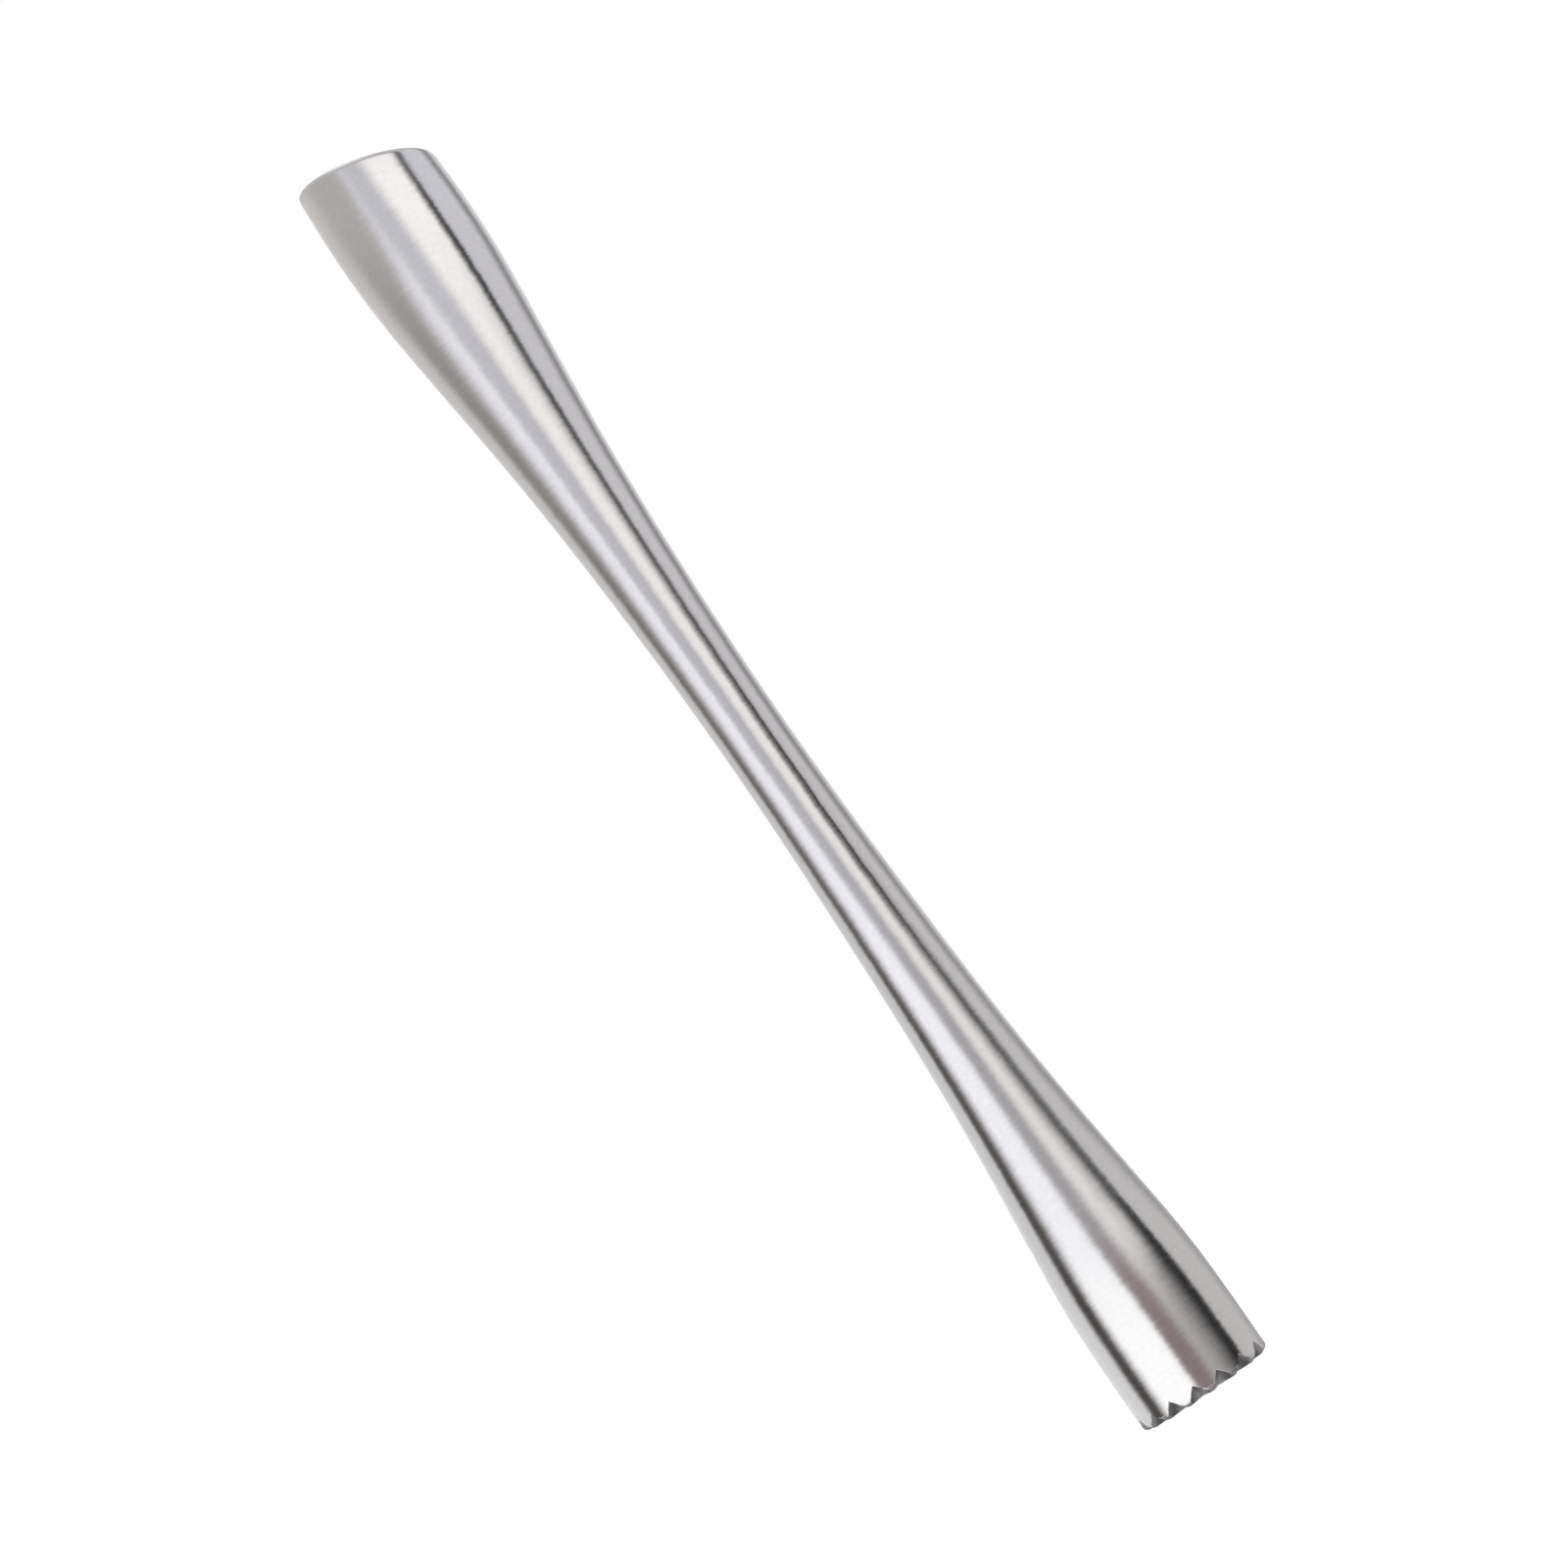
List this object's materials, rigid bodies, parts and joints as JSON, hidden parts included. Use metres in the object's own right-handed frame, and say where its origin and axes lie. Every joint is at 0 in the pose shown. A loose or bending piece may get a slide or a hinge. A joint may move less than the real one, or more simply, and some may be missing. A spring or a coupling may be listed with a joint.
{
  "type": "muddler",
  "caption": "Waisted stainless steel bar muddler with a toothed end and a slanted flat end.",
  "frame": {"origin": "centre of the toothed end, in the plane of the tooth tips", "axes": "+Z along the muddler's axis from the teeth to the slanted end; the slanted end is highest on the -X side"},
  "size_m": [0.0204, 0.0204, 0.2085],
  "materials": {
    "brushed_body": "fine satin grain running round the axis",
    "ground_head_weld": "weld ground flush and brushed round the axis",
    "brushed_head": "satin side, bright cut teeth",
    "ground_cap_weld": "weld ground flush and brushed round the axis",
    "brushed_cap": "satin edge and straight-brushed face"
  },
  "bodies": {
    "root": {"body_shell": "brushed_body", "head_weld": "ground_head_weld", "toothed_head": "brushed_head", "cap_weld": "ground_cap_weld", "slanted_end_cap": "brushed_cap"}
  },
  "joints": []
}
